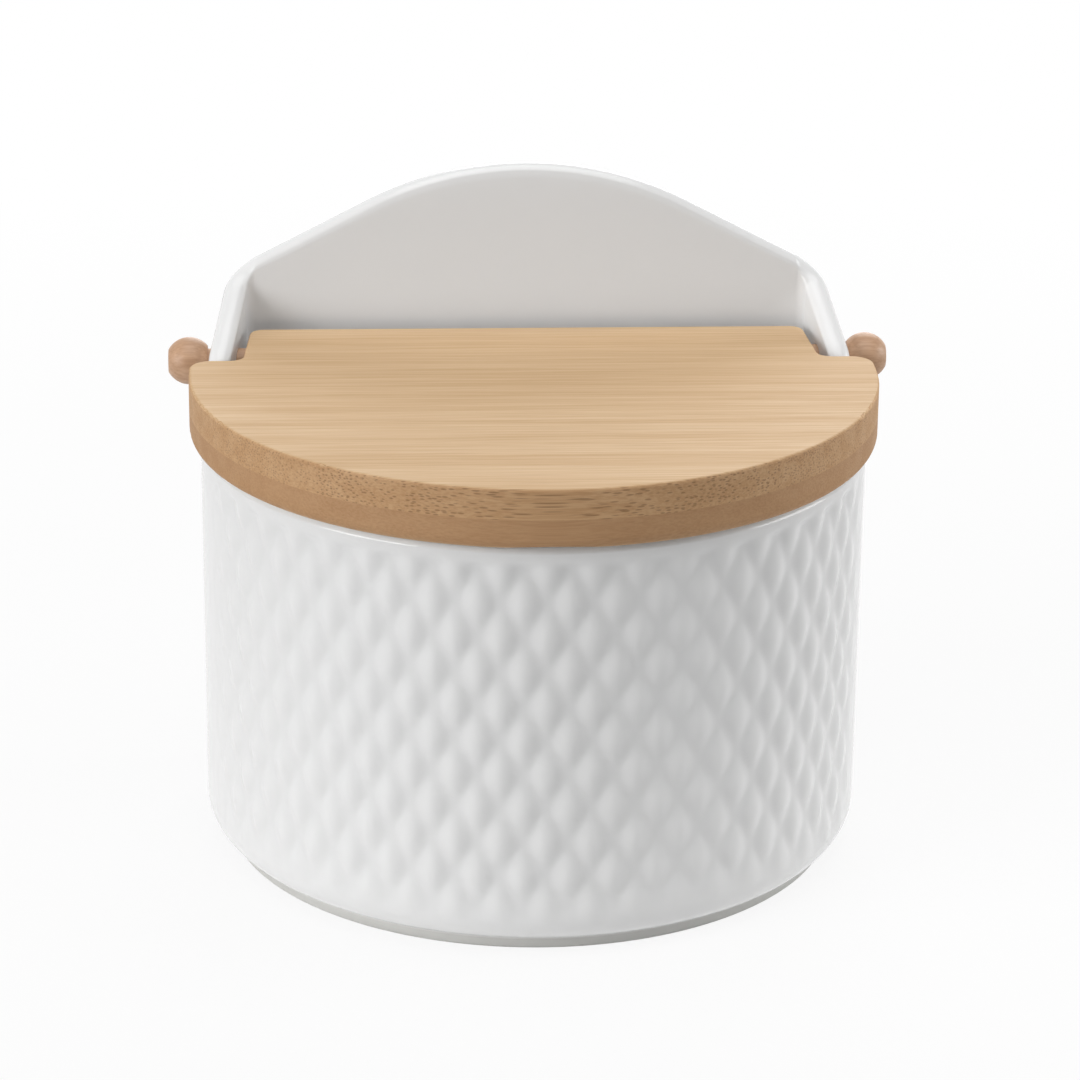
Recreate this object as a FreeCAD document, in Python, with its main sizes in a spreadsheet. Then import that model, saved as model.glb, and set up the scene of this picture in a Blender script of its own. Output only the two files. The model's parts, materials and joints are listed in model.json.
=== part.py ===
import FreeCAD, Part
import math
import os
import Sketcher

# Salt box: a porcelain box with a tall back, and a glued bamboo lid that turns on two wooden pegs.
# Millimetres, Z up, the round front faces -Y. Shapes are drawn about the upright axis of the round wall,
# and every finished piece is then moved so that the whole stands centred over the origin.

doc = FreeCAD.newDocument("salt_box")

# Driving sizes, in millimetres and degrees
sizes = {
    # Porcelain box
    "wall_radius": 67.5,
    "wall_thick": 4.5,
    "side_taper": 10,
    "back_face": 36.8,
    "corner_round": 6.5,
    "rim_height": 86,
    "apex_height": 132.6,
    "lip_round": 2.1,
    "lip_past_wall": 0.2,
    "foot_height": 1.5,
    "foot_inset": 4.6,
    "foot_width": 5,
    "foot_corner": 6,
    "floor_thick": 5,
    "bottom_round": 9.5,
    "cavity_round": 5,
    # Cheeks and arched back, measured along the outside of the wall
    "cheek_front": 10.2,
    "cheek_rise": 11.7,
    "cheek_angle": 78,
    "cheek_heel_round": 4,
    "cheek_brow_round": 6,
    "arch_radius": 72,
    # Lid
    "lid_overhang": 2.2,
    "lid_thick": 12.4,
    "lid_gap": 0.2,
    "lid_under_round": 2.2,
    "lid_top_round": 0.6,
    "ear_cheek_gap": 1.9,
    "ear_round": 4.5,
    "notch_round": 3,
    "tongue_taper": 4,
    "tongue_wall_gap": 2,
    "tongue_panel_gap": 3.6,
    "tongue_round": 3,
    "scoop_radius": 80,
    "scoop_rise": 0.8,
    "scoop_reach": 6,
    "front_strip": 15.7,
    "rear_strip": 28.7,
    # Pegs
    "axis_panel_gap": 10.3,
    "axis_below_top": 4.6,
    "peg_radius": 2.5,
    "peg_clearance": 0.1,
    "peg_glue_gap": 0.05,
    "peg_grip": 14,
    "ball_radius": 4.9,
    "ball_flat": 3.8,
    "ball_end": 4.3,
    "ball_wall_gap": 0.9,
    # Room that cutting shapes have past what they cut
    "cut_margin": 5,
}

# Sizes that follow from the driving ones
formulas = {
    "cavity_corner": "=corner_round - wall_thick",
    "cavity_floor": "=foot_height + floor_thick",
    "foot_inner": "=foot_inset + foot_width",
    "panel_front": "=back_face - wall_thick",
    "inner_radius": "=wall_radius - wall_thick",
    "lid_radius": "=wall_radius + lid_overhang",
    "lid_bottom": "=rim_height + lid_gap",
    "lid_top": "=lid_bottom + lid_thick",
    "ply_joint": "=lid_bottom + lid_thick / 2",
    "ear_back": "=cheek_front - ear_cheek_gap",
    "tongue_back": "=panel_front - tongue_panel_gap",
    "strip_width": "=(lid_radius + tongue_back - front_strip - rear_strip) / 2",
    "axis_depth": "=panel_front - axis_panel_gap",
    "axis_height": "=lid_top - axis_below_top",
    "cut_reach": "=wall_radius * 2",
    "cut_top": "=apex_height + cut_margin * 2",
    "axis_offset": "=(lid_radius - back_face) / 2",
    "taper_cos": "=cos(side_taper * 1 deg)",
    "taper_tan": "=tan(side_taper * 1 deg)",
    "tongue_side": "=inner_radius / taper_cos - axis_depth * taper_tan - tongue_wall_gap",
    "tongue_lean": "=(tongue_back - tongue_round - axis_depth) * tan(tongue_taper * 1 deg)",
    "tongue_half": "=tongue_side - tongue_lean - tongue_round / cos(tongue_taper * 1 deg)",
    "ball_flat_at": "=wall_radius / taper_cos - (axis_depth - ball_radius) * taper_tan + ball_wall_gap",
    "peg_end_at": "=tongue_side - peg_grip",
}

sheet = doc.addObject("Spreadsheet::Sheet", "sizes")
for row, (alias, content) in enumerate(list(sizes.items()) + list(formulas.items()), 1):
    sheet.set("A" + str(row), alias)
    sheet.set("B" + str(row), str(content))
    sheet.setAlias("B" + str(row), alias)
doc.recompute()


def value(alias):
    return float(sheet.get(alias))


def vec(x, y):
    return FreeCAD.Vector(x, y, 0)


def plane_of(body, role):
    for feature in body.Origin.OriginFeatures:
        if feature.Role == role:
            return feature
    raise RuntimeError("no origin plane " + role)


def new_sketch(body, name, role, offset=None):
    sketch = body.newObject("Sketcher::SketchObject", name)
    sketch.AttachmentSupport = [(plane_of(body, role), "")]
    sketch.MapMode = "FlatFace"
    if offset:
        sketch.setExpression("AttachmentOffset.Base.z", offset)
    return sketch


def bind(sketch, constraint, expression):
    index = sketch.addConstraint(constraint)
    sketch.setExpression("Constraints[" + str(index) + "]", expression)
    return index


def tie(sketch, *parts):
    sketch.addConstraint(Sketcher.Constraint(*parts))


def arc(center_x, center_y, radius, start, end):
    circle = Part.Circle(vec(center_x, center_y), FreeCAD.Vector(0, 0, 1), radius)
    return Part.ArcOfCircle(circle, start, end)


def line(x0, y0, x1, y1):
    return Part.LineSegment(vec(x0, y0), vec(x1, y1))


def finish_sketch(sketch):
    doc.recompute()
    if sketch.solve() != 0:
        raise RuntimeError("sketch does not solve: " + sketch.Name)


def draw_plan(sketch, corner, inset=None):
    # One closed outline of the box seen from above: round front, sides that close in slightly, flat back
    inset_now = value(inset) if inset else 0
    less_inset = " - sizes." + inset if inset else ""
    corner_now = value(corner)
    radius = value("wall_radius") - inset_now
    back = value("back_face") - inset_now
    taper = math.radians(value("side_taper"))
    along = (back - corner_now - (radius - corner_now) * math.sin(taper)) / math.cos(taper)
    center_x = (radius - corner_now) * math.cos(taper) - along * math.sin(taper)
    center_y = back - corner_now
    side_x = radius * math.cos(taper)
    side_y = radius * math.sin(taper)
    turn_x = center_x + corner_now * math.cos(taper)
    turn_y = center_y + corner_now * math.sin(taper)
    first = sketch.GeometryCount
    sketch.addGeometry(arc(0, 0, radius, math.pi - taper, 2 * math.pi + taper))
    sketch.addGeometry(line(side_x, side_y, turn_x, turn_y))
    sketch.addGeometry(arc(center_x, center_y, corner_now, taper, math.pi / 2))
    sketch.addGeometry(line(center_x, back, -center_x, back))
    sketch.addGeometry(arc(-center_x, center_y, corner_now, math.pi / 2, math.pi - taper))
    sketch.addGeometry(line(-turn_x, turn_y, -side_x, side_y))
    front, right, right_turn, rear, left_turn, left = range(first, first + 6)
    tie(sketch, "Coincident", front, 3, -1, 1)
    tie(sketch, "Tangent", front, 2, right, 1)
    tie(sketch, "Tangent", right, 2, right_turn, 1)
    tie(sketch, "Tangent", right_turn, 2, rear, 1)
    tie(sketch, "Tangent", rear, 2, left_turn, 1)
    tie(sketch, "Tangent", left_turn, 2, left, 1)
    tie(sketch, "Tangent", left, 2, front, 1)
    tie(sketch, "Horizontal", rear)
    tie(sketch, "Symmetric", right_turn, 3, left_turn, 3, -2)
    bind(sketch, Sketcher.Constraint("Radius", front, radius), "sizes.wall_radius" + less_inset)
    bind(sketch, Sketcher.Constraint("Radius", right_turn, corner_now), "sizes." + corner)
    bind(sketch, Sketcher.Constraint("DistanceY", -1, 1, rear, 1, back), "sizes.back_face" + less_inset)
    bind(sketch, Sketcher.Constraint("Angle", right, math.pi / 2 + taper), "(90 + sizes.side_taper) * 1 deg")


def edges_where(feature, test):
    names = []
    for index, edge in enumerate(feature.Shape.Edges):
        if test(edge):
            names.append("Edge" + str(index + 1))
    if not names:
        raise RuntimeError("no edges found on " + feature.Name)
    return names


def add_fillet(body, name, radius, test):
    doc.recompute()
    base = body.Tip
    fillet = body.newObject("PartDesign::Fillet", name)
    fillet.Base = (base, edges_where(base, test))
    fillet.setExpression("Radius", "sizes." + radius)
    doc.recompute()
    return fillet


def near(a, b):
    return abs(a - b) < 0.001


def flat_at(edge, height):
    box = edge.BoundBox
    return near(box.ZMin, height) and near(box.ZMax, height)


# Porcelain box, one cast piece. A plain pot goes up to the top of the arch and is then cut down to the lip.
pot = doc.addObject("PartDesign::Body", "pot")

outer_plan = new_sketch(pot, "outer_plan", "XY_Plane", "sizes.foot_height")
draw_plan(outer_plan, "corner_round")
finish_sketch(outer_plan)
block = pot.newObject("PartDesign::Pad", "block")
block.Profile = outer_plan
block.setExpression("Length", "sizes.apex_height + sizes.cut_margin - sizes.foot_height")
add_fillet(pot, "bottom_edge", "bottom_round", lambda edge: flat_at(edge, value("foot_height")))

# The space for the salt
cavity_plan = new_sketch(pot, "cavity_plan", "XY_Plane", "sizes.cavity_floor")
draw_plan(cavity_plan, "cavity_corner", "wall_thick")
finish_sketch(cavity_plan)
cavity = pot.newObject("PartDesign::Pocket", "cavity")
cavity.Profile = cavity_plan
cavity.Reversed = True
cavity.setExpression("Length", "sizes.cut_top")
add_fillet(pot, "cavity_edge", "cavity_round", lambda edge: flat_at(edge, value("cavity_floor")))

# The foot ring under the rounded bottom edge
foot_plan = new_sketch(pot, "foot_plan", "XY_Plane")
draw_plan(foot_plan, "foot_corner", "foot_inset")
draw_plan(foot_plan, "foot_corner", "foot_inner")
finish_sketch(foot_plan)
foot = pot.newObject("PartDesign::Pad", "foot")
foot.Profile = foot_plan
foot.setExpression("Length", "sizes.foot_height + sizes.floor_thick / 2")
doc.recompute()

# The lip runs level along the rim, climbs the cheeks and goes over the arch. Its height is drawn along the
# unrolled wall, it is rounded across the wall's thickness, and everything above it is cut away.
taper = math.radians(value("side_taper"))
wall = value("wall_radius")
corner = value("corner_round")
side_length = (value("back_face") - corner - (wall - corner) * math.sin(taper)) / math.cos(taper)
corner_x = (wall - corner) * math.cos(taper) - side_length * math.sin(taper)
front_end = wall * taper
side_end = front_end + side_length
corner_end = side_end + corner * (math.pi / 2 - taper)
apex_at = corner_end + corner_x


def wall_point(along):
    # Point of the outer wall and its outward direction, for a distance along the right half of the wall
    if along < front_end:
        angle = along / wall
        return wall * math.cos(angle), wall * math.sin(angle), math.cos(angle), math.sin(angle)
    if along < side_end:
        run = along - front_end
        x = wall * math.cos(taper) - run * math.sin(taper)
        y = wall * math.sin(taper) + run * math.cos(taper)
        return x, y, math.cos(taper), math.sin(taper)
    if along < corner_end:
        angle = taper + (along - side_end) / corner
        x = corner_x + corner * math.cos(angle)
        y = value("back_face") - corner + corner * math.sin(angle)
        return x, y, math.cos(angle), math.sin(angle)
    return apex_at - along, value("back_face"), 0.0, 1.0


# The parts of the unrolled lip: level rim, heel, steep cheek front, brow, long slope, top of the arch
steep = math.radians(value("cheek_angle"))
heel = value("cheek_heel_round")
brow = value("cheek_brow_round")
arch = value("arch_radius")
rim_z = value("rim_height")
brow_at = value("cheek_front") + value("cheek_rise") / math.tan(steep)
steep_length = value("cheek_rise") / math.sin(steep)

# The long slope starts at the brow and touches the round top of the arch
center_run = apex_at - brow_at
center_drop = rim_z + value("cheek_rise") - value("apex_height") + arch
slope = math.asin(arch / math.hypot(center_run, center_drop)) - math.atan2(center_drop, center_run)
slope_length = (center_run - arch * math.sin(slope)) / math.cos(slope)
heel_cut = heel * math.tan(steep / 2)
brow_cut = brow * math.tan((steep - slope) / 2)
lip_parts = [
    (value("cheek_front") - heel_cut, 0.0),
    (heel * steep, steep),
    (steep_length - heel_cut - brow_cut, 0.0),
    (brow * (steep - slope), slope - steep),
    (slope_length - brow_cut, 0.0),
    (arch * slope, -slope),
]


def lip_path(spacing):
    # Walks the unrolled lip from the widest place of the wall and returns place, height and direction
    along = 0.0
    height = rim_z
    heading = 0.0
    points = [(along, height, heading)]
    for length, turn in lip_parts:
        count = max(2, int(math.ceil(length / spacing)))
        for step in range(count):
            middle = heading + turn / count / 2
            along += length / count * math.cos(middle)
            height += length / count * math.sin(middle)
            heading += turn / count
            points.append((along, height, heading))
    return points


# Across the wall the lip is half an ellipse, a little wider than the wall so that the cut passes both faces
lip_half = value("wall_thick") / 2
lip_reach = lip_half + value("lip_past_wall")
lip_drop = min(value("lip_round"), lip_half)
lip_edge_ratio = 0.99
lip_step = value("wall_thick") / 3
lip_turns = 5


def lip_grid():
    grid = []
    for along, height, heading in lip_path(lip_step):
        row = []
        for turn in range(-lip_turns, lip_turns + 1):
            share = lip_edge_ratio * math.sin(turn / lip_turns * math.pi / 2)
            fall = lip_drop * (1 - math.sqrt(1 - share ** 2))
            x, y, out_x, out_y = wall_point(min(along + fall * math.sin(heading), apex_at))
            depth = lip_reach * share - lip_half
            lip_z = height - fall * math.cos(heading)
            row.append(FreeCAD.Vector(x + out_x * depth, y + out_y * depth, lip_z))
        grid.append(row)
    for point in grid[-1]:
        point.x = 0
    return grid


# The level rim round the front is cut by one turned ring
ring_center = FreeCAD.Vector(wall - lip_half, 0, rim_z - lip_drop)
ring_side = ring_center + FreeCAD.Vector(lip_reach, 0, 0)
ring_crown = ring_center + FreeCAD.Vector(0, 0, lip_drop)
edge_angle = math.acos(lip_edge_ratio)
ring_ellipse = Part.Ellipse(ring_side, ring_crown, ring_center)
ring_arc = Part.ArcOfEllipse(ring_ellipse, edge_angle, math.pi - edge_angle)
ring_outer = ring_arc.StartPoint
ring_inner = ring_arc.EndPoint
ring_outer_top = FreeCAD.Vector(ring_outer.x, 0, value("cut_top"))
ring_inner_top = FreeCAD.Vector(ring_inner.x, 0, value("cut_top"))
ring_edges = [
    ring_arc.toShape(),
    Part.makeLine(ring_inner, ring_inner_top),
    Part.makeLine(ring_inner_top, ring_outer_top),
    Part.makeLine(ring_outer_top, ring_outer),
]
ring_face = Part.Face(Part.Wire(ring_edges))
rim_cutter = doc.addObject("Part::Feature", "rim_cutter")
rim_cutter.Shape = ring_face.revolve(FreeCAD.Vector(0, 0, 0), FreeCAD.Vector(0, 0, -1), 180)
rim_cut = doc.addObject("Part::Cut", "rim_cut")
rim_cut.Base = pot
rim_cut.Tool = rim_cutter

# Both sides from the cheeks to the top of the arch are cut by curved caps
lip_rows = lip_grid()
cheek_rows = sum(1 for along, height, heading in lip_path(lip_step) if along < corner_end)
stretches = [lip_rows[:cheek_rows + 1], lip_rows[cheek_rows:]]
lip_cut = rim_cut
for index, rows in enumerate(stretches):
    surface = Part.BSplineSurface()
    surface.interpolate(rows)
    right_cap = surface.toShape().extrude(FreeCAD.Vector(0, 0, value("cut_top")))
    left_cap = right_cap.mirror(FreeCAD.Vector(0, 0, 0), FreeCAD.Vector(1, 0, 0))
    for side, cap in (("right", right_cap), ("left", left_cap)):
        cutter = doc.addObject("Part::Feature", "lip_cutter_" + side + "_" + str(index + 1))
        cutter.Shape = cap
        next_cut = doc.addObject("Part::Cut", "lip_cut_" + side + "_" + str(index + 1))
        next_cut.Base = lip_cut
        next_cut.Tool = cutter
        lip_cut = next_cut
doc.recompute()

box = doc.addObject("PartDesign::Body", "porcelain_body")
box.Label = "porcelain_body"
box.BaseFeature = lip_cut
doc.recompute()


def draw_peg_hole(sketch, gap):
    # A round hole on the axis of the pegs, wider than a peg by a gap all round
    center = vec(value("axis_depth"), value("axis_height"))
    sketch.addGeometry(Part.Circle(center, FreeCAD.Vector(0, 0, 1), value("peg_radius")))
    bind(sketch, Sketcher.Constraint("DistanceX", -1, 1, 0, 3, center.x), "sizes.axis_depth")
    bind(sketch, Sketcher.Constraint("DistanceY", -1, 1, 0, 3, center.y), "sizes.axis_height")
    bind(sketch, Sketcher.Constraint("Radius", 0, value("peg_radius")), "sizes.peg_radius + sizes." + gap)
    finish_sketch(sketch)


# The holes that the pegs turn in, straight across through both cheeks
hole_sketch = new_sketch(box, "hole_sketch", "YZ_Plane")
draw_peg_hole(hole_sketch, "peg_clearance")
holes = box.newObject("PartDesign::Pocket", "holes")
holes.Profile = hole_sketch
holes.SideType = "Symmetric"
holes.setExpression("Length", "sizes.cut_reach * 2")
doc.recompute()

# Lid board, drawn whole and then sawn into its strips
board = doc.addObject("PartDesign::Body", "lid_board")
lid_plan = new_sketch(board, "lid_plan", "XY_Plane", "sizes.lid_bottom")
lid_radius = value("lid_radius")
ear_back = value("ear_back")
ear = value("ear_round")
notch = value("notch_round")
tongue = value("tongue_round")
tongue_back = value("tongue_back")
rear_half = value("tongue_half")
lean = math.radians(value("tongue_taper"))
rear_center_y = tongue_back - tongue
side_tip_x = rear_half + tongue * math.cos(lean)
side_tip_y = rear_center_y + tongue * math.sin(lean)
notch_center_y = ear_back + notch
side_foot_y = notch_center_y - notch * math.sin(lean)
side_foot_x = side_tip_x + (side_tip_y - side_foot_y) * math.tan(lean)
notch_center_x = side_foot_x + notch * math.cos(lean)
lid_outline = [
    arc(0, 0, lid_radius, math.pi, 2 * math.pi),
    line(lid_radius, 0, lid_radius, ear_back - ear),
    arc(lid_radius - ear, ear_back - ear, ear, 0, math.pi / 2),
    line(lid_radius - ear, ear_back, notch_center_x, ear_back),
    arc(notch_center_x, notch_center_y, notch, math.pi + lean, 3 * math.pi / 2),
    line(side_foot_x, side_foot_y, side_tip_x, side_tip_y),
    arc(rear_half, rear_center_y, tongue, lean, math.pi / 2),
    line(rear_half, tongue_back, -rear_half, tongue_back),
    arc(-rear_half, rear_center_y, tongue, math.pi / 2, math.pi - lean),
    line(-side_tip_x, side_tip_y, -side_foot_x, side_foot_y),
    arc(-notch_center_x, notch_center_y, notch, 3 * math.pi / 2, 2 * math.pi - lean),
    line(-notch_center_x, ear_back, ear - lid_radius, ear_back),
    arc(ear - lid_radius, ear_back - ear, ear, math.pi / 2, math.pi),
    line(-lid_radius, ear_back - ear, -lid_radius, 0),
]
for shape in lid_outline:
    lid_plan.addGeometry(shape)
tie(lid_plan, "Coincident", 0, 3, -1, 1)
tie(lid_plan, "Tangent", 0, 2, 1, 1)
tie(lid_plan, "Tangent", 1, 2, 2, 1)
tie(lid_plan, "Tangent", 2, 2, 3, 1)
tie(lid_plan, "Tangent", 3, 2, 4, 2)
tie(lid_plan, "Tangent", 4, 1, 5, 1)
tie(lid_plan, "Tangent", 5, 2, 6, 1)
tie(lid_plan, "Tangent", 6, 2, 7, 1)
tie(lid_plan, "Tangent", 7, 2, 8, 1)
tie(lid_plan, "Tangent", 8, 2, 9, 1)
tie(lid_plan, "Tangent", 9, 2, 10, 2)
tie(lid_plan, "Tangent", 10, 1, 11, 1)
tie(lid_plan, "Tangent", 11, 2, 12, 1)
tie(lid_plan, "Tangent", 12, 2, 13, 1)
tie(lid_plan, "Tangent", 13, 2, 0, 1)
tie(lid_plan, "Vertical", 1)
tie(lid_plan, "Horizontal", 3)
tie(lid_plan, "Horizontal", 7)
tie(lid_plan, "Horizontal", 11)
tie(lid_plan, "Vertical", 13)
tie(lid_plan, "Symmetric", 2, 3, 12, 3, -2)
tie(lid_plan, "Symmetric", 4, 3, 10, 3, -2)
tie(lid_plan, "Symmetric", 6, 3, 8, 3, -2)
bind(lid_plan, Sketcher.Constraint("Radius", 0, lid_radius), "sizes.lid_radius")
bind(lid_plan, Sketcher.Constraint("Radius", 2, ear), "sizes.ear_round")
bind(lid_plan, Sketcher.Constraint("Radius", 4, notch), "sizes.notch_round")
bind(lid_plan, Sketcher.Constraint("Radius", 6, tongue), "sizes.tongue_round")
bind(lid_plan, Sketcher.Constraint("DistanceY", -1, 1, 3, 1, ear_back), "sizes.ear_back")
bind(lid_plan, Sketcher.Constraint("DistanceY", -1, 1, 7, 1, tongue_back), "sizes.tongue_back")
bind(lid_plan, Sketcher.Constraint("DistanceX", -1, 1, 7, 1, rear_half), "sizes.tongue_half")
bind(lid_plan, Sketcher.Constraint("Angle", 5, math.pi / 2 + lean), "(90 + sizes.tongue_taper) * 1 deg")
finish_sketch(lid_plan)
slab = board.newObject("PartDesign::Pad", "slab")
slab.Profile = lid_plan
slab.setExpression("Length", "sizes.lid_thick")
add_fillet(board, "under_edge", "lid_under_round", lambda edge: flat_at(edge, value("lid_bottom")))
add_fillet(board, "top_edge", "lid_top_round", lambda edge: flat_at(edge, value("lid_top")))

# A shallow finger scoop under the front edge
scoop_sketch = new_sketch(board, "scoop_sketch", "XZ_Plane", "sizes.lid_radius - sizes.scoop_reach")
scoop_z = value("lid_bottom") + value("scoop_rise") - value("scoop_radius")
scoop_sketch.addGeometry(Part.Circle(vec(0, scoop_z), FreeCAD.Vector(0, 0, 1), value("scoop_radius")))
tie(scoop_sketch, "PointOnObject", 0, 3, -2)
bind(scoop_sketch, Sketcher.Constraint("Radius", 0, value("scoop_radius")), "sizes.scoop_radius")
bind(scoop_sketch, Sketcher.Constraint("DistanceY", -1, 1, 0, 3, scoop_z),
     "sizes.lid_bottom + sizes.scoop_rise - sizes.scoop_radius")
finish_sketch(scoop_sketch)
scoop = board.newObject("PartDesign::Pocket", "scoop")
scoop.Profile = scoop_sketch
scoop.Reversed = True
scoop.setExpression("Length", "sizes.scoop_reach * 3")
doc.recompute()

# Blind bores for the pegs in both sides of the tongue
for side, sign in (("right", 1), ("left", -1)):
    place = "sizes.peg_end_at - sizes.peg_glue_gap"
    if sign < 0:
        place = "-(" + place + ")"
    bore_sketch = new_sketch(board, "bore_sketch_" + side, "YZ_Plane", place)
    draw_peg_hole(bore_sketch, "peg_glue_gap")
    bore = board.newObject("PartDesign::Pocket", "bore_" + side)
    bore.Profile = bore_sketch
    bore.Reversed = sign > 0
    bore.setExpression("Length", "sizes.peg_grip * 3")
    doc.recompute()


def saw_strip(label, low, high, near_side, far_side):
    # One strip of the board: the part between two heights and two distances from the wall's axis
    saw = doc.addObject("Part::Box", label + "_saw")
    saw.setExpression("Length", "sizes.lid_radius * 2 + sizes.cut_margin * 2")
    saw.setExpression("Width", "(" + far_side + ") - (" + near_side + ")")
    saw.setExpression("Height", "(" + high + ") - (" + low + ")")
    saw.setExpression("Placement.Base.x", "-sizes.lid_radius - sizes.cut_margin")
    saw.setExpression("Placement.Base.y", near_side)
    saw.setExpression("Placement.Base.z", low)
    strip = doc.addObject("Part::Common", label)
    strip.Label = label
    strip.Base = board
    strip.Tool = saw
    return strip


front_end_at = "-sizes.lid_radius - sizes.cut_margin"
rear_end_at = "sizes.tongue_back + sizes.cut_margin"
first_joint = "-sizes.lid_radius + sizes.front_strip"
low_joint = "-sizes.lid_radius + sizes.front_strip + sizes.strip_width / 2"
joint_z = "sizes.ply_joint"
above_z = "sizes.lid_top + sizes.cut_margin"
below_z = "sizes.lid_bottom - sizes.cut_margin"
one = " + sizes.strip_width"
two = " + sizes.strip_width * 2"
pieces = []
pieces.append(saw_strip("lid_top_front", joint_z, above_z, front_end_at, first_joint))
pieces.append(saw_strip("lid_top_middle_a", joint_z, above_z, first_joint, first_joint + one))
pieces.append(saw_strip("lid_top_middle_b", joint_z, above_z, first_joint + one, first_joint + two))
pieces.append(saw_strip("lid_top_rear", joint_z, above_z, first_joint + two, rear_end_at))
pieces.append(saw_strip("lid_low_front", below_z, joint_z, front_end_at, low_joint))
pieces.append(saw_strip("lid_low_middle_a", below_z, joint_z, low_joint, low_joint + one))
pieces.append(saw_strip("lid_low_middle_b", below_z, joint_z, low_joint + one, low_joint + two))
pieces.append(saw_strip("lid_low_rear", below_z, joint_z, low_joint + two, rear_end_at))
for piece in pieces:
    piece.setExpression("Placement.Base.y", "sizes.axis_offset")
pieces.append(box)
box.setExpression("Placement.Base.y", "sizes.axis_offset")

# Turned pegs: a ball head with a flat inner face and a flattened end, and a round shank into the tongue
for side, angle in (("right", 0), ("left", 180)):
    peg = doc.addObject("PartDesign::Body", "peg_" + side)
    peg.Label = "peg_" + side
    profile = new_sketch(peg, "peg_profile_" + side, "XZ_Plane")
    shank = value("peg_radius")
    ball = value("ball_radius")
    flat_x = value("ball_flat_at")
    ball_x = flat_x + value("ball_flat")
    flat_r = math.sqrt(ball ** 2 - value("ball_flat") ** 2)
    tip_x = ball_x + value("ball_end")
    tip_r = math.sqrt(ball ** 2 - value("ball_end") ** 2)
    end_x = value("peg_end_at")
    profile.addGeometry(line(end_x, 0, end_x, shank))
    profile.addGeometry(line(end_x, shank, flat_x, shank))
    profile.addGeometry(line(flat_x, shank, flat_x, flat_r))
    profile.addGeometry(arc(ball_x, 0, ball, math.asin(tip_r / ball), math.pi - math.asin(flat_r / ball)))
    profile.addGeometry(line(tip_x, tip_r, tip_x, 0))
    profile.addGeometry(line(tip_x, 0, end_x, 0))
    tie(profile, "Coincident", 0, 2, 1, 1)
    tie(profile, "Coincident", 1, 2, 2, 1)
    tie(profile, "Coincident", 2, 2, 3, 2)
    tie(profile, "Coincident", 3, 1, 4, 1)
    tie(profile, "Coincident", 4, 2, 5, 1)
    tie(profile, "Coincident", 5, 2, 0, 1)
    tie(profile, "Vertical", 0)
    tie(profile, "Horizontal", 1)
    tie(profile, "Vertical", 2)
    tie(profile, "Vertical", 4)
    tie(profile, "PointOnObject", 3, 3, -1)
    tie(profile, "PointOnObject", 4, 2, -1)
    tie(profile, "PointOnObject", 0, 1, -1)
    bind(profile, Sketcher.Constraint("DistanceX", -1, 1, 0, 1, end_x), "sizes.peg_end_at")
    bind(profile, Sketcher.Constraint("DistanceY", -1, 1, 0, 2, shank), "sizes.peg_radius")
    bind(profile, Sketcher.Constraint("DistanceX", -1, 1, 2, 1, flat_x), "sizes.ball_flat_at")
    bind(profile, Sketcher.Constraint("DistanceX", -1, 1, 3, 3, ball_x),
         "sizes.ball_flat_at + sizes.ball_flat")
    bind(profile, Sketcher.Constraint("Radius", 3, ball), "sizes.ball_radius")
    bind(profile, Sketcher.Constraint("DistanceX", -1, 1, 4, 1, tip_x),
         "sizes.ball_flat_at + sizes.ball_flat + sizes.ball_end")
    finish_sketch(profile)
    turned = peg.newObject("PartDesign::Revolution", "turned_" + side)
    turned.Profile = profile
    turned.ReferenceAxis = (profile, ["H_Axis"])
    turned.Angle = 360
    spin = FreeCAD.Rotation(FreeCAD.Vector(0, 0, 1), angle)
    peg.Placement = FreeCAD.Placement(FreeCAD.Vector(0, 0, 0), spin)
    peg.setExpression("Placement.Base.y", "sizes.axis_offset + sizes.axis_depth")
    peg.setExpression("Placement.Base.z", "sizes.axis_height")
    pieces.append(peg)

doc.recompute()
for item in doc.Objects:
    if "Invalid" in item.State or "Error" in item.State:
        raise RuntimeError("object not built: " + item.Name)
os.makedirs("parts", exist_ok=True)
for piece in pieces:
    if piece.Shape.isNull() or not piece.Shape.isValid() or len(piece.Shape.Solids) != 1:
        raise RuntimeError("bad solid: " + piece.Label)
    piece.Shape.exportStep("parts/" + piece.Label + ".step")
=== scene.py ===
import json
import math

import bpy
import numpy as np
from mathutils import Matrix, Vector


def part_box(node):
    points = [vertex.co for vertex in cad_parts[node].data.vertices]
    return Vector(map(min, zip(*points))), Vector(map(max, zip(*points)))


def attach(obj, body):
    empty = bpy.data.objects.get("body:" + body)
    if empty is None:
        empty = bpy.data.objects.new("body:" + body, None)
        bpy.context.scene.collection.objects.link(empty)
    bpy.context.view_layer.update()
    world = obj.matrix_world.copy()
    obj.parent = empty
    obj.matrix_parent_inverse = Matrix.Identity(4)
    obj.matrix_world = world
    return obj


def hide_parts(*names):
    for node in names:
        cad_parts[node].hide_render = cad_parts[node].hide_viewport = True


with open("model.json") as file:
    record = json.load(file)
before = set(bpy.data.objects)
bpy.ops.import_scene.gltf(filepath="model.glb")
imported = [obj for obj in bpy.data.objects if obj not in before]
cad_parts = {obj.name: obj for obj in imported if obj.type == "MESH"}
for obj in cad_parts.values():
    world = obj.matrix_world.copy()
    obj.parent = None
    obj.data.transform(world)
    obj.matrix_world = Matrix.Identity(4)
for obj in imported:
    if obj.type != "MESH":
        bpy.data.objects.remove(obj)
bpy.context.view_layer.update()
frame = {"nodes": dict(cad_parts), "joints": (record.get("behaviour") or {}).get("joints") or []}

# Porcelain box
# One slip-cast piece of white porcelain under a clear gloss glaze: a round wall quilted in front, a plain
# flat back that rises to an arch, two cheeks with a peg hole each, and a foot ring that is left bare.
mm = 0.001

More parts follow.
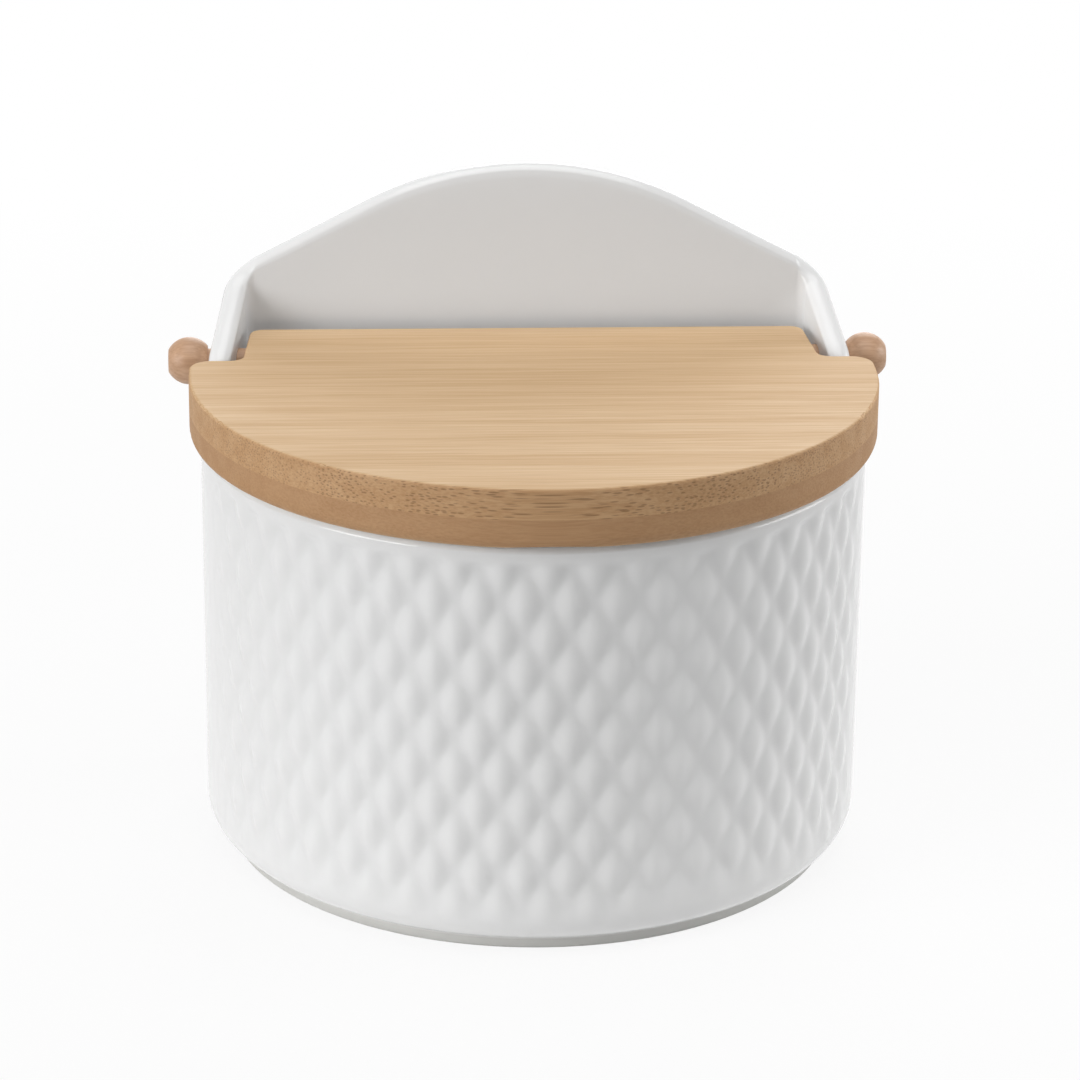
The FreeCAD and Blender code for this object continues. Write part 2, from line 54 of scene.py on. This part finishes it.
# Sizes of the wall, lip, foot and cavity, from the frame where it has them
body_low, body_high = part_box("porcelain_body")
wall_radius = body_high.x
wall_axis_y = body_low.y + wall_radius
back_face = body_high.y - wall_axis_y
apex_height = body_high.z
wall_thick = 4.5 * mm
side_taper = math.radians(10)
corner_round = 6.5 * mm
inner_corner = corner_round - wall_thick
rim_height = 86 * mm
lip_round = 2.1 * mm
lip_spread = 0.2 * mm
foot_height = 1.5 * mm
foot_inset = 4.6 * mm
foot_width = 5 * mm
foot_edge = 0.7 * mm
foot_corner = 6 * mm
foot_crease = 0.4 * mm
foot_crease_drop = 0.3 * mm
floor_height = 6.5 * mm
bottom_round = 6.5 * mm
bottom_height = 2.2 * mm
cavity_round = 5 * mm

# Cheeks and arch, measured along the outside of the wall from its widest place
cheek_front = 10.2 * mm
cheek_rise = 11.7 * mm
cheek_angle = math.radians(78)
heel_round = 4 * mm
brow_round = 6 * mm
arch_radius = 72 * mm
hole_radius = 2.6 * mm

# Quilted diamonds between the plain rim band and the foot, fading out before the wall's widest place
diamond_width = 8.98 * mm
diamond_height = 14.26 * mm
diamond_along = 3.96 * mm
diamond_level = 74.4 * mm
groove_depth = 0.8 * mm
groove_softness = 0.36
pillow_share = 0.75
quilt_top = 83.2 * mm
quilt_top_fade = 1.6 * mm
quilt_bottom = 4 * mm
quilt_bottom_fade = 12 * mm
quilt_side = 91 * mm
quilt_side_fade = 18 * mm

# How finely the mesh is divided
steps_per_diamond = 16
lip_spacing = 0.1 * mm
foot_edge_steps = 4
bottom_steps = 14
upper_steps = 28
lip_steps = 14
cavity_steps = 24
cavity_round_steps = 8
split_height = 84 * mm
disc_shares = (0.75, 0.5, 0.25)
hole_sides = 48
drill_length = 3 * wall_radius
sharp_angle = math.radians(50)

# Lengths along the outside of the wall, from the middle of the front to the middle of the back
front_run = wall_radius * (math.pi / 2 + side_taper)
corner_y = back_face - corner_round
side_length = (corner_y - (wall_radius - corner_round) * math.sin(side_taper)) / math.cos(side_taper)
corner_x = (wall_radius - corner_round) * math.cos(side_taper) - side_length * math.sin(side_taper)
side_run = front_run + side_length
corner_run = side_run + corner_round * (math.pi / 2 - side_taper)
back_run = corner_run + corner_x
widest_run = wall_radius * math.pi / 2


def wall_plan(stretch, inset, corner):
    # The wall's outline seen from above, set in by a distance, with its own rounding at the back corners
    turn, side_share, face, rear_share = stretch
    radius = wall_radius - inset
    center_y = back_face - inset - corner
    side = (center_y - (radius - corner) * math.sin(side_taper)) / math.cos(side_taper)
    center_x = (radius - corner) * math.cos(side_taper) - side * math.sin(side_taper)
    x_front = radius * np.sin(turn) - side * side_share * math.sin(side_taper)
    y_front = -radius * np.cos(turn) + side * side_share * math.cos(side_taper)
    x_rear = center_x * (1 - rear_share) + corner * np.cos(face)
    y_rear = center_y + corner * np.sin(face)
    on_front = side_share < 1
    return np.where(on_front, x_front, x_rear), np.where(on_front, y_front, y_rear)


def lip_line(spacing):
    # The unrolled lip of one side: level rim, heel, steep cheek, brow, long slope, round top of the arch
    apex_at = back_run - widest_run
    brow_at = cheek_front + cheek_rise / math.tan(cheek_angle)
    run = apex_at - brow_at
    drop = rim_height + cheek_rise - apex_height + arch_radius
    slope = math.asin(arch_radius / math.hypot(run, drop)) - math.atan2(drop, run)
    heel_cut = heel_round * math.tan(cheek_angle / 2)
    brow_cut = brow_round * math.tan((cheek_angle - slope) / 2)
    stretches = [
        (cheek_front - heel_cut, 0.0),
        (heel_round * cheek_angle, cheek_angle),
        (cheek_rise / math.sin(cheek_angle) - heel_cut - brow_cut, 0.0),
        (brow_round * (cheek_angle - slope), slope - cheek_angle),
        ((run - arch_radius * math.sin(slope)) / math.cos(slope) - brow_cut, 0.0),
        (arch_radius * slope, -slope),
    ]
    along, height, heading = widest_run, rim_height, 0.0
    line = [(along, height, heading)]
    for length, turn in stretches:
        count = math.ceil(length / spacing)
        for step in range(count):
            middle = heading + turn / count / 2
            along += length / count * math.cos(middle)
            height += length / count * math.sin(middle)
            heading += turn / count
            line.append((along, height, heading))
    return np.array(line).T


lip_along, lip_height, lip_heading = lip_line(lip_spacing)


def lip_level(run, fall):
    # Height of the lip's surface where it has fallen that far off its crown, at lengths along the wall
    place = lip_along + fall * np.sin(lip_heading)
    return np.interp(run, place, lip_height - fall * np.cos(lip_heading))


def smooth_step(value, start, end):
    share = np.clip((value - start) / (end - start), 0, 1)
    return share * share * (3 - 2 * share)


def quilt_recess(run, height):
    # How far the pressed diamonds lie below the plain wall: none on a crown, most where two grooves cross
    across = (run - diamond_along) / diamond_width
    upward = (height - diamond_level) / diamond_height
    ridges = []
    for lane in (across + upward, across - upward):
        ridge = np.sqrt(np.cos(math.pi * lane) ** 2 + groove_softness ** 2) - groove_softness
        ridges.append(ridge / (math.sqrt(1 + groove_softness ** 2) - groove_softness))
    pillow = ridges[0] * ridges[1]
    crown = pillow_share * pillow + (1 - pillow_share) * (ridges[0] + ridges[1]) / 2
    cover = smooth_step(height, quilt_top, quilt_top - quilt_top_fade)
    cover = cover * smooth_step(height, quilt_bottom, quilt_bottom + quilt_bottom_fade)
    cover = cover * smooth_step(np.abs(run), quilt_side, quilt_side - quilt_side_fade)
    return groove_depth * (1 - crown) * cover


def arc_rows(inset, height, radius, start, end, steps):
    # Rows of a rounded edge, as inset from the plain wall and height
    angles = np.radians(np.linspace(start, end, steps + 1))
    return [(inset - radius * math.cos(angle), height + radius * math.sin(angle)) for angle in angles]


# Columns go once round the wall, and stand closer together where the lip climbs steeply
climb = np.hypot(np.diff(lip_along), np.diff(lip_height))
lip_length = widest_run + np.concatenate([[0], np.cumsum(climb)])
column_count = round(lip_length[-1] / (diamond_width / steps_per_diamond))
column_length = np.linspace(0, lip_length[-1], column_count + 1)
half_runs = np.interp(column_length, np.concatenate([[0], lip_length]), np.concatenate([[0], lip_along]))
runs = np.concatenate([half_runs, -half_runs[-2:0:-1]])
side_sign = np.where(runs < 0, -1, 1)
ahead = np.abs(runs)
turn = np.minimum(ahead / wall_radius, math.pi / 2 + side_taper)
bend = np.clip((ahead - side_run) / corner_round, 0, math.pi / 2 - side_taper)
face = turn - math.pi / 2 + bend
side_share = np.clip((ahead - front_run) / side_length, 0, 1)
rear_share = np.clip((ahead - corner_run) / corner_x, 0, 1)
stretch = (turn, side_share, face, rear_share)
out_x, out_y = np.cos(face) * side_sign, np.sin(face)

# Rows go from the underside out over the foot, up the wall, over the lip and down to the cavity's floor
level = np.ones(len(runs))
foot_inner = foot_inset + foot_width
foot_meets = math.degrees(math.acos((bottom_round - foot_inset) / bottom_round))
wall_base = bottom_height + bottom_round
profile = [(foot_inner + foot_crease, foot_height), (foot_inner, foot_height - foot_crease_drop)]
profile += arc_rows(foot_inner - foot_edge, foot_edge, foot_edge, 180, 270, foot_edge_steps)
profile += arc_rows(foot_inset + foot_edge, foot_edge, foot_edge, 270, 360, foot_edge_steps)
profile += arc_rows(bottom_round, wall_base, bottom_round, -foot_meets, 0, bottom_steps)
rows = [(inset, foot_corner, height * level) for inset, height in profile]
wall_steps = round((split_height - wall_base) / (diamond_height / steps_per_diamond))
for height in np.linspace(wall_base, split_height, wall_steps + 1)[1:]:
    rows.append((0.0, corner_round, height * level))
outer_rows = len(rows)
lip_reach = wall_thick / 2 + lip_spread
lip_lean = math.asin(wall_thick / 2 / lip_reach)
lip_edge = lip_level(ahead, lip_round * (1 - math.cos(lip_lean)))
upper_shares = np.linspace(0, 1, upper_steps + 1)
for share in upper_shares[1:]:
    rows.append((0.0, corner_round, split_height + (lip_edge - split_height) * share))
for lean in np.linspace(lip_lean, -lip_lean, lip_steps + 1)[1:-1]:
    inset = wall_thick / 2 - lip_reach * math.sin(lean)
    crown = lip_level(ahead, lip_round * (1 - math.cos(lean)))
    rows.append((inset, corner_round - inset, crown))
for share in upper_shares[::-1]:
    rows.append((wall_thick, inner_corner, split_height + (lip_edge - split_height) * share))
cavity_base = floor_height + cavity_round
for height in np.linspace(split_height, cavity_base, cavity_steps + 1)[1:]:
    rows.append((wall_thick, inner_corner, height * level))
for angle in np.radians(np.linspace(0, 90, cavity_round_steps + 1)[1:]):
    inset = wall_thick + cavity_round * (1 - math.cos(angle))
    rows.append((inset, inner_corner, (cavity_base - cavity_round * math.sin(angle)) * level))

# Points of all rows, with the quilt pressed into the outer wall, and of the rings that close both ends
row_points = []
# Painted shade for each point, as strong as the quilt's recess is deep there
groove_shade_rows = []
for index, (inset, corner, height) in enumerate(rows):
    recess = quilt_recess(runs, height) if index < outer_rows else 0 * level
    plan_x, plan_y = wall_plan(stretch, inset, corner)
    x = plan_x * side_sign - out_x * recess
    y = wall_axis_y + plan_y - out_y * recess
    row_points.append(np.stack([x, y, height], axis=1))
    groove_shade_rows.append(recess / groove_depth)
axis_foot = np.array([0, wall_axis_y, 0])
under_edge = row_points[0] - axis_foot
floor_edge = row_points[-1] - axis_foot
under_rings = [axis_foot + under_edge * [share, share, 1] for share in disc_shares[::-1]]
floor_rings = [axis_foot + floor_edge * [share, share, 1] for share in disc_shares]
row_points = under_rings + row_points + floor_rings
# The rings that close both ends get no painted groove shade
unshaded_rings = [0 * level] * len(disc_shares)
groove_shade_rows = unshaded_rings + groove_shade_rows + unshaded_rings
points = np.concatenate(row_points)
middles = [(0, wall_axis_y, foot_height), (0, wall_axis_y, floor_height)]

# Faces between neighbouring rows, and round the two middle points
columns = len(runs)
last_row = len(points) - columns
under_middle = len(points)
floor_middle = under_middle + 1
faces = []
for low in range(0, last_row, columns):
    high = low + columns
    for column in range(columns):
        after = (column + 1) % columns
        faces.append((low + column, low + after, high + after, high + column))
for column in range(columns):
    after = (column + 1) % columns
    faces.append((under_middle, after, column))
    faces.append((floor_middle, last_row + column, last_row + after))
box_mesh = bpy.data.meshes.new("salt_box_body")
box_mesh.from_pydata(points.tolist() + middles, [], faces)
# A point attribute that carries the painted groove shade to the glaze
groove_shade_layer = box_mesh.attributes.new("groove_painted_shade", "FLOAT", "POINT")
groove_shade_layer.data.foreach_set("value", np.concatenate(groove_shade_rows + [np.zeros(len(middles))]).astype(np.float32))
box_piece = bpy.data.objects.new("salt_box_body", box_mesh)
bpy.context.scene.collection.objects.link(box_piece)

# The peg holes are bored through both cheeks before glazing
hinge_place = Vector(frame["joints"][0]["pos_m"])
bpy.ops.mesh.primitive_cylinder_add(vertices=hole_sides, radius=hole_radius, depth=drill_length)
drill = bpy.context.object
drill.matrix_world = Matrix.Translation(hinge_place) @ Matrix.Rotation(math.pi / 2, 4, "Y")
bore = box_piece.modifiers.new("peg_holes", "BOOLEAN")
bore.object = drill
bore.operation = "DIFFERENCE"
bore.solver = "EXACT"
bpy.context.view_layer.update()
bored = box_piece.evaluated_get(bpy.context.evaluated_depsgraph_get())
box_piece.data = bpy.data.meshes.new_from_object(bored)
box_piece.modifiers.clear()
bpy.data.objects.remove(drill)
box_piece.data.shade_smooth()
box_piece.data.set_sharp_from_angle(angle=sharp_angle)


def add_node(tree, kind, settings=None, inputs=None):
    # A shader node with its settings, and its inputs as values or as links from other sockets
    new = tree.nodes.new(kind)
    for name, setting in (settings or {}).items():
        setattr(new, name, setting)
    for key, content in (inputs or {}).items():
        if isinstance(content, bpy.types.NodeSocket):
            tree.links.new(content, new.inputs[key])
        else:
            new.inputs[key].default_value = content
    return new


def math_node(tree, operation, first, second=0.5):
    return add_node(tree, "ShaderNodeMath", {"operation": operation}, {0: first, 1: second}).outputs[0]


def weigh(tree, first, first_weight, second, second_weight):
    # Two values, each times its weight, added up
    first_part = math_node(tree, "MULTIPLY", first, first_weight)
    second_part = math_node(tree, "MULTIPLY", second, second_weight)
    return math_node(tree, "ADD", first_part, second_part)


def mix_color(tree, share, first, second, blend="MIX"):
    # The mix node takes its two colours at inputs 6 and 7 and gives the mixed one at output 2
    settings = {"data_type": "RGBA", "blend_type": blend}
    return add_node(tree, "ShaderNodeMix", settings, {0: share, 6: first, 7: second}).outputs[2]


def step_node(tree, value, start, end):
    limits = {"Value": value, "From Min": start, "From Max": end}
    return add_node(tree, "ShaderNodeMapRange", {"interpolation_type": "SMOOTHSTEP"}, limits).outputs[0]


def spread(tree, value, low, high, start=0.0, end=1.0):
    # A value between start and end, spread evenly from low to high
    limits = {"Value": value, "From Min": start, "From Max": end, "To Min": low, "To Max": high}
    return add_node(tree, "ShaderNodeMapRange", None, limits).outputs[0]


def noise(tree, place, scale, detail, roughness=0.5):
    inputs = {"Vector": place, "Scale": scale, "Detail": detail, "Roughness": roughness}
    return add_node(tree, "ShaderNodeTexNoise", None, inputs).outputs[0]


def new_material(name):
    made = bpy.data.materials.new(name)
    made.use_nodes = True
    return made, made.node_tree, made.node_tree.nodes["Principled BSDF"]


def millimetre_position(tree):
    place = add_node(tree, "ShaderNodeTexCoord").outputs["Object"]
    grow = add_node(tree, "ShaderNodeVectorMath", {"operation": "SCALE"}, {0: place, "Scale": 1 / mm})
    return grow.outputs[0]


def dress(tree, shader, tone, roughness, relief, strength):
    # Gives a shader its colour, its roughness and a fine relief in millimetres
    tree.links.new(tone, shader.inputs["Base Color"])
    tree.links.new(roughness, shader.inputs["Roughness"])
    bump = add_node(tree, "ShaderNodeBump", None, {"Strength": strength, "Distance": mm, "Height": relief})
    tree.links.new(bump.outputs[0], shader.inputs["Normal"])


# Glaze: white on the crowns, darker in the grooves as painted shade, softly rippled, and bare on the foot
glaze_white = (0.872, 0.873, 0.872, 1)
groove_shade_tone = (0.83, 0.832, 0.832, 1)
glaze_cloud = (0.85, 0.848, 0.84, 1)
# The bare foot's grey: bare clay, made darker as painted shade low on the box by the floor
bare_clay_and_shade = (0.66, 0.655, 0.63, 1)
bare_roughness = 0.6
cloud_share = 0.5
cloud_scale = 0.03
ripple_scale = 0.16
peel_scale = 1.1
glaze_smooth = 0.12
glaze_dull = 0.22
ripple_height = 0.12
peel_height = 0.012
glaze_relief = 0.5
glaze_ior = 1.5

# Heights in millimetres between which the glaze ends above the bare foot
bare_below = 2.0
glazed_above = 2.6
porcelain, tree, shader = new_material("glazed_porcelain")
place = millimetre_position(tree)
groove_shade_mask = add_node(tree, "ShaderNodeAttribute", {"attribute_name": "groove_painted_shade"}).outputs["Fac"]
cloud = noise(tree, place, cloud_scale, detail=3)
ripple = noise(tree, place, ripple_scale, detail=2)
peel = noise(tree, place, peel_scale, detail=2)
height_z = add_node(tree, "ShaderNodeSeparateXYZ", None, {0: place}).outputs[2]
bare = step_node(tree, height_z, glazed_above, bare_below)
# The grooves get a darker tone: painted shade, stronger the deeper the recess
tone = mix_color(tree, groove_shade_mask, glaze_white, groove_shade_tone)
tone = mix_color(tree, math_node(tree, "MULTIPLY", cloud, cloud_share), tone, glaze_cloud)
# The foot takes its grey, partly bare clay and partly painted shade
tone = mix_color(tree, bare, tone, bare_clay_and_shade)
gloss = spread(tree, cloud, glaze_smooth, glaze_dull)
roughness = math_node(tree, "MAXIMUM", gloss, math_node(tree, "MULTIPLY", bare, bare_roughness))
relief = weigh(tree, ripple, ripple_height, peel, peel_height)
dress(tree, shader, tone, roughness, relief, glaze_relief)
shader.inputs["IOR"].default_value = glaze_ior
box_piece.data.materials.clear()
box_piece.data.materials.append(porcelain)
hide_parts("porcelain_body")
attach(box_piece, "box")

# Bamboo lid
# Two plies of bamboo strips, glued edge to edge and face to face with the grain along the pegs, then cut to a
# half round with a tongue, sanded and oiled. The curved edge cuts the fibres and shows their ends as dots.
upper_light = (0.72, 0.51, 0.305, 1)
upper_dark = (0.60, 0.392, 0.21, 1)
lower_light = (0.61, 0.41, 0.235, 1)
lower_dark = (0.54, 0.345, 0.19, 1)
fibre_end = (0.27, 0.15, 0.07, 1)
# Multiplied over the upright sides of the lid: painted shade on its edges
side_shade_tone = (0.83, 0.73, 0.65, 1)
face_dots = 0.15
face_above = 0.95
edge_below = 0.6
line_share = 0.6
oiled_smooth = 0.56
oiled_dull = 0.7
oiled_specular = 0.3
streak_height = -0.05
dot_height = -0.06
bamboo_relief = 0.6
strip_shift = (31.0, 17.3, 7.1)

# Light from the lid onto the panel behind is taken as paler than the wood, so that the porcelain stays white
bounce_tone = (0.68, 0.665, 0.65, 1)
bounce_share = 0.75

# How strongly the fibre ends show on each strip
strip_dots = {
    "lid_top_front": 0.7,
    "lid_top_middle_a": 0.5,
    "lid_top_middle_b": 0.25,
    "lid_top_rear": 0.25,
    "lid_low_front": 0.12,
    "lid_low_middle_a": 0.2,
    "lid_low_middle_b": 0.2,
    "lid_low_rear": 0.2,
}


def grain_group():
    # Straight grain along X in millimetres: fine lines, broad bands, and the dots of cut fibres
    group = bpy.data.node_groups.new("straight_grain", "ShaderNodeTree")
    group.interface.new_socket("Position", in_out="INPUT", socket_type="NodeSocketVector")
    for name in ("Line Scale", "Band Scale", "Dot Scale"):
        group.interface.new_socket(name, in_out="INPUT", socket_type="NodeSocketFloat")
    for name in ("Lines", "Bands", "Dots"):
        group.interface.new_socket(name, in_out="OUTPUT", socket_type="NodeSocketFloat")
    given = group.nodes.new("NodeGroupInput").outputs
    result = group.nodes.new("NodeGroupOutput")
    shrink_along = {"Lines": 0.012, "Bands": 0.006, "Dots": 0.03}
    limits = {"Lines": (0.38, 0.62), "Bands": (0.35, 0.65), "Dots": (0.42, 0.2)}
    place = {}
    for name, shrink in shrink_along.items():
        inputs = {0: given["Position"], 1: (shrink, 1, 1)}
        place[name] = add_node(group, "ShaderNodeVectorMath", {"operation": "MULTIPLY"}, inputs).outputs[0]
    lines = noise(group, place["Lines"], given["Line Scale"], detail=3, roughness=0.6)
    bands = noise(group, place["Bands"], given["Band Scale"], detail=2)
    cells = {"Vector": place["Dots"], "Scale": given["Dot Scale"], "Randomness": 0.8}
    dots = add_node(group, "ShaderNodeTexVoronoi", {"feature": "F1"}, cells).outputs["Distance"]
    for name, value in {"Lines": lines, "Bands": bands, "Dots": dots}.items():
        group.links.new(step_node(group, value, *limits[name]), result.inputs[name])
    return group


straight_grain = grain_group()


def place_grain(tree, place, line_scale, band_scale, dot_scale):
    inputs = {"Position": place, "Line Scale": line_scale, "Band Scale": band_scale, "Dot Scale": dot_scale}
    return add_node(tree, "ShaderNodeGroup", {"node_tree": straight_grain}, inputs).outputs


def bamboo_finish(name, light, dark, dot_share, seed):
    # One strip's bamboo: its own tone, its own place in the grain, and as many dark fibre ends as it shows
    made, tree, shader = new_material(name)
    shift = [seed * distance for distance in strip_shift]
    inputs = {0: millimetre_position(tree), 1: shift}
    place = add_node(tree, "ShaderNodeVectorMath", {"operation": "ADD"}, inputs).outputs[0]
    grain = place_grain(tree, place, line_scale=2.7, band_scale=0.28, dot_scale=1.9)
    streak = weigh(tree, grain["Lines"], line_share, grain["Bands"], 1 - line_share)
    tone = mix_color(tree, streak, light, dark)
    normal = add_node(tree, "ShaderNodeNewGeometry").outputs["True Normal"]
    upward = add_node(tree, "ShaderNodeSeparateXYZ", None, {0: normal}).outputs[2]
    # Faces that stand upright are multiplied darker than the top and bottom: painted shade on the lid's edges
    edge = step_node(tree, math_node(tree, "ABSOLUTE", upward), face_above, edge_below)
    tone = mix_color(tree, edge, tone, side_shade_tone, "MULTIPLY")
    dot_cover = math_node(tree, "MULTIPLY", spread(tree, edge, face_dots, 1.0), dot_share)
    dots = math_node(tree, "MULTIPLY", grain["Dots"], dot_cover)
    tone = mix_color(tree, dots, tone, fibre_end)
    bounce = add_node(tree, "ShaderNodeLightPath").outputs["Is Diffuse Ray"]
    tone = mix_color(tree, math_node(tree, "MULTIPLY", bounce, bounce_share), tone, bounce_tone)
    roughness = spread(tree, streak, oiled_smooth, oiled_dull)
    relief = weigh(tree, streak, streak_height, dots, dot_height)
    dress(tree, shader, tone, roughness, relief, bamboo_relief)
    shader.inputs["Specular IOR Level"].default_value = oiled_specular
    return made


for seed, (strip, dot_share) in enumerate(strip_dots.items(), 1):
    upper = strip.startswith("lid_top")
    light, dark = (upper_light, upper_dark) if upper else (lower_light, lower_dark)
    finish = bamboo_finish(strip.replace("lid", "bamboo"), light, dark, dot_share, seed)
    frame["nodes"][strip].data.materials.clear()
    frame["nodes"][strip].data.materials.append(finish)

# Hinge pegs
# Two turned hardwood pegs with a ball head, glued into the lid's tongue and turning in the cheek holes.
# The wood is pinker than the bamboo and its short pores show as fine flecks along the peg.
peg_light = (0.60, 0.375, 0.235, 1)
peg_dark = (0.49, 0.285, 0.165, 1)
peg_fleck = (0.36, 0.19, 0.11, 1)
fleck_share = 0.18
peg_line_share = 0.5
peg_smooth = 0.38
peg_dull = 0.5
peg_streak_height = -0.04
peg_relief = 0.4
peg_wood, tree, shader = new_material("turned_peg_wood")
grain = place_grain(tree, millimetre_position(tree), line_scale=1.6, band_scale=0.4, dot_scale=2.2)
streak = weigh(tree, grain["Lines"], peg_line_share, grain["Bands"], 1 - peg_line_share)
tone = mix_color(tree, streak, peg_light, peg_dark)
tone = mix_color(tree, math_node(tree, "MULTIPLY", grain["Dots"], fleck_share), tone, peg_fleck)
roughness = spread(tree, streak, peg_smooth, peg_dull)
relief = math_node(tree, "MULTIPLY", streak, peg_streak_height)
dress(tree, shader, tone, roughness, relief, peg_relief)
for peg in ("peg_right", "peg_left"):
    frame["nodes"][peg].data.materials.clear()
    frame["nodes"][peg].data.materials.append(peg_wood)

# Floor and light
# A wide pale floor under a white surround, with soft lamps on the left, on the right, behind and overhead.
# The floor throws less light back the farther it lies from the box, and the eye sees it fade to plain white.
floor_reach = 4.0
floor_near = (0.85, 0.85, 0.85, 1)
floor_far = (0.42, 0.42, 0.42, 1)
floor_roughness = 0.9
floor_specular = 0.1
surround_light = 0.01
lamp_aim = (0, 0, 0.06)

# Distances on the floor in millimetres from the middle of the box
near_distance = 90
far_distance = 240
shadow_distance = 150
white_distance = 500
shadow_glow = 0.88
floor_mesh = bpy.data.meshes.new("floor")
corners = [(-floor_reach, -floor_reach, 0), (floor_reach, -floor_reach, 0),
           (floor_reach, floor_reach, 0), (-floor_reach, floor_reach, 0)]
floor_mesh.from_pydata(corners, [], [(0, 1, 2, 3)])
floor_piece = bpy.data.objects.new("floor", floor_mesh)
bpy.context.scene.collection.objects.link(floor_piece)


def shown(tree):
    # One for rays that show the background, to the eye or in a mirror or glass, and nothing for rays of light
    path = add_node(tree, "ShaderNodeLightPath").outputs
    bent = math_node(tree, "MAXIMUM", path["Is Glossy Ray"], path["Is Transmission Ray"])
    return math_node(tree, "MAXIMUM", path["Is Camera Ray"], bent)


floor_finish, tree, shader = new_material("pale_floor")
away = add_node(tree, "ShaderNodeVectorMath", {"operation": "LENGTH"}, {0: millimetre_position(tree)})
away = away.outputs["Value"]
seen = shown(tree)
pale = math_node(tree, "MAXIMUM", step_node(tree, away, far_distance, near_distance), seen)
tree.links.new(mix_color(tree, pale, floor_far, floor_near), shader.inputs["Base Color"])
shader.inputs["Roughness"].default_value = floor_roughness
shader.inputs["Specular IOR Level"].default_value = floor_specular
glow = add_node(tree, "ShaderNodeEmission", None, {"Color": (1, 1, 1, 1), "Strength": 1.0})
glow_share = spread(tree, away, shadow_glow, 1.0, shadow_distance, white_distance)
layers = {0: math_node(tree, "MULTIPLY", seen, glow_share), 1: shader.outputs[0], 2: glow.outputs[0]}
blend = add_node(tree, "ShaderNodeMixShader", None, layers)
tree.links.new(blend.outputs[0], tree.nodes["Material Output"].inputs["Surface"])
floor_mesh.materials.append(floor_finish)

world = bpy.data.worlds.new("white_surround")
bpy.context.scene.world = world
world.use_nodes = True
tree = world.node_tree
background = tree.nodes["Background"]
background.inputs["Color"].default_value = (1, 1, 1, 1)
tree.links.new(spread(tree, shown(tree), surround_light, 1.0), background.inputs["Strength"])


def soft_lamp(name, place, width, height, power):
    data = bpy.data.lights.new(name, "AREA")
    data.shape = "RECTANGLE"
    data.size = width
    data.size_y = height
    data.energy = power
    lamp = bpy.data.objects.new(name, data)
    lamp.location = place
    lamp.rotation_euler = (Vector(lamp_aim) - Vector(place)).to_track_quat("-Z", "Y").to_euler()
    bpy.context.scene.collection.objects.link(lamp)


soft_lamp("left_lamp", place=(-1.2, -0.7, 0.45), width=0.8, height=0.8, power=12.2)
soft_lamp("right_lamp", place=(1.3, 0.05, 0.4), width=0.8, height=0.7, power=7.8)
soft_lamp("rear_lamp", place=(0.3, 1.6, 0.8), width=1.0, height=1.0, power=11)
soft_lamp("top_lamp", place=(0, -0.2, 1.5), width=1.5, height=1.5, power=15.5)

# Camera
# A long lens, a little left of the middle, looking down on the lid.
# Its place and turn were fitted to the outlines of the lid, wall, foot and arch.
camera_place = (-42.21 * mm, -751.06 * mm, 355.94 * mm)
camera_yaw = math.radians(3.264)
camera_pitch = math.radians(20.931)
camera_roll = math.radians(0.6)
camera_data = bpy.data.cameras.new("camera")
camera_data.lens = 133.4
camera_data.sensor_width = 36.0
camera = bpy.data.objects.new("camera", camera_data)
aimed = Matrix.Rotation(-camera_yaw, 4, "Z") @ Matrix.Rotation(math.pi / 2 - camera_pitch, 4, "X")
camera.matrix_world = Matrix.Translation(camera_place) @ aimed @ Matrix.Rotation(camera_roll, 4, "Z")
bpy.context.scene.collection.objects.link(camera)
bpy.context.scene.camera = camera
bpy.context.scene.view_settings.view_transform = "Standard"
